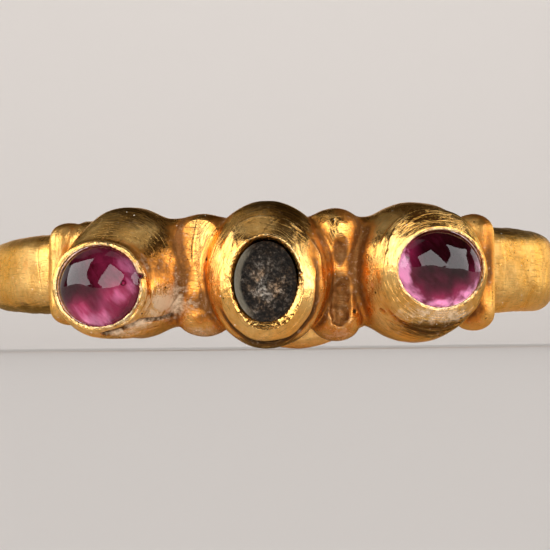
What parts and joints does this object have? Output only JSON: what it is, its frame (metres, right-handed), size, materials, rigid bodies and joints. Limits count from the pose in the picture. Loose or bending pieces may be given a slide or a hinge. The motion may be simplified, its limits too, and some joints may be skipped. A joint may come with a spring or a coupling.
{
  "type": "three-setting finger ring",
  "caption": "Gold finger ring with a D-section hoop and a row of raised cup settings between lobed knots, the outer cups with pink cabochons and the middle one empty but for cement.",
  "frame": {"origin": "centre of the finger hole, at the middle of the hoop's width", "axes": "+Z along the finger hole's axis, with the middle cup facing -Y and +X to its right"},
  "size_m": [0.0228, 0.0244, 0.0057],
  "materials": {
    "gold": "high-carat gold, satin and worn, with brown deposits in its hollows",
    "stone": "polished purplish red cabochon, clear",
    "cement": "dry grey setting cement, granular"
  },
  "bodies": {
    "root": {"gold_ring": "gold", "left_stone": "stone", "right_stone": "stone", "cement_bed": "cement"}
  },
  "joints": []
}
